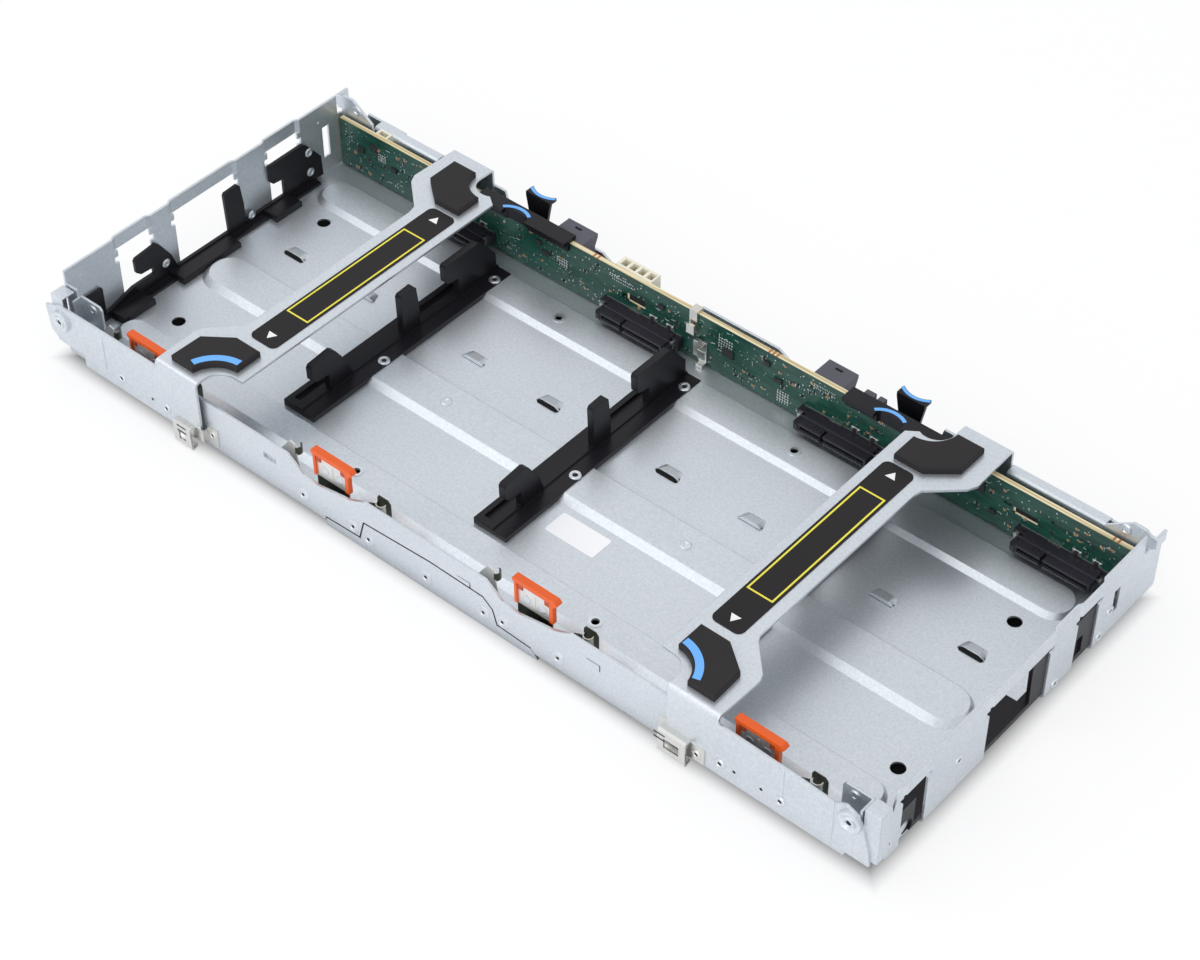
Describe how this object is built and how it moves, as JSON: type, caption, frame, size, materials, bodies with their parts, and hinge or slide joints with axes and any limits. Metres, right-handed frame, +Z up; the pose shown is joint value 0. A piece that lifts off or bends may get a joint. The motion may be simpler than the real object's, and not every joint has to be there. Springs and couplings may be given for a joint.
{
  "type": "hard drive riser tray",
  "caption": "Shallow zinc-plated sheet tray with side-by-side drive bays, sprung orange latches, moulded dividers, a connector board and two padded bridges.",
  "frame": {"origin": "middle of the whole part in X and Y, at the height of its resting faces", "axes": "+X along the tray toward the bay at the right seen from the latch side, +Y from the latches to the connector board, +Z up"},
  "size_m": [0.4306, 0.1878, 0.043],
  "materials": {
    "zinc_steel": "satin",
    "black_plastic": "satin",
    "connector_plastic": "satin",
    "spring_steel": "satin",
    "orange_plastic": "satin",
    "clip_steel": "satin",
    "pad_plastic": "fine texture",
    "label_film": "satin",
    "white_film": "satin",
    "green_board": "solder mask",
    "chip_plastic": "matte",
    "bright_steel": "satin",
    "grey_plastic": "satin",
    "cream_plastic": "satin"
  },
  "bodies": {
    "tray": {"backplane_board": "green_board", "board_chips": "chip_plastic", "board_clip_left": "black_plastic", "board_clip_right": "black_plastic", "board_hook": "spring_steel", "corner_ear_front_left": "zinc_steel", "corner_ear_front_right": "zinc_steel", "corner_ear_rear_left": "zinc_steel", "corner_ear_rear_right": "zinc_steel", "drive_connector_1": "connector_plastic", "drive_connector_2": "connector_plastic", "drive_connector_3": "connector_plastic", "drive_connector_4": "connector_plastic", "drive_divider_1": "black_plastic", "drive_divider_2": "black_plastic", "drive_divider_3": "black_plastic", "end_spacers": "bright_steel", "floor_label": "white_film", "front_wall": "zinc_steel", "label_left": "label_film", "label_right": "label_film", "left_bridge": "zinc_steel", "left_contact_springs": "spring_steel", "lever_pins": "bright_steel", "lower_front_plate": "zinc_steel", "outer_clip_left": "clip_steel", "outer_clip_right": "clip_steel", "pad_front_left": "pad_plastic", "pad_front_right": "pad_plastic", "pad_rear_left": "pad_plastic", "pad_rear_right": "pad_plastic", "rear_data_connectors": "grey_plastic", "rear_header": "cream_plastic", "rear_power_connector": "cream_plastic", "rear_small_clips": "grey_plastic", "rear_wall": "zinc_steel", "right_bridge": "zinc_steel", "right_contact_springs": "spring_steel", "side_guide_left": "black_plastic", "side_guide_right": "black_plastic", "tray_pan": "zinc_steel"},
    "latch_1": {"release_leaf_1": "spring_steel", "release_cap_1": "orange_plastic"},
    "latch_2": {"release_leaf_2": "spring_steel", "release_cap_2": "orange_plastic"},
    "latch_3": {"release_leaf_3": "spring_steel", "release_cap_3": "orange_plastic"},
    "latch_4": {"release_leaf_4": "spring_steel", "release_cap_4": "orange_plastic"},
    "lever_left": {"release_lever_left": "black_plastic"},
    "lever_right": {"release_lever_right": "black_plastic"}
  },
  "joints": [
    {"name": "latch_1_flex", "type": "hinge", "parent": "tray", "child": "latch_1", "pos_m": [-0.1586, -0.08375, 0.0105], "axis": [1, 0, 0], "range_deg": [0, 5.5], "stiffness_Nm_per_rad": 0.4},
    {"name": "latch_2_flex", "type": "hinge", "parent": "tray", "child": "latch_2", "pos_m": [-0.0531, -0.08375, 0.0105], "axis": [1, 0, 0], "range_deg": [0, 5.5], "stiffness_Nm_per_rad": 0.4},
    {"name": "latch_3_flex", "type": "hinge", "parent": "tray", "child": "latch_3", "pos_m": [0.0524, -0.08375, 0.0105], "axis": [1, 0, 0], "range_deg": [0, 5.5], "stiffness_Nm_per_rad": 0.4},
    {"name": "latch_4_flex", "type": "hinge", "parent": "tray", "child": "latch_4", "pos_m": [0.1579, -0.08375, 0.0105], "axis": [1, 0, 0], "range_deg": [0, 5.5], "stiffness_Nm_per_rad": 0.4},
    {"name": "lever_left_squeeze", "type": "hinge", "parent": "tray", "child": "lever_left", "pos_m": [-0.1009, 0.08505, 0.01], "axis": [1, 0, 0], "range_deg": [0, 12], "stiffness_Nm_per_rad": 0.15},
    {"name": "lever_right_squeeze", "type": "hinge", "parent": "tray", "child": "lever_right", "pos_m": [0.0966, 0.08505, 0.01], "axis": [1, 0, 0], "range_deg": [0, 12], "stiffness_Nm_per_rad": 0.15}
  ]
}
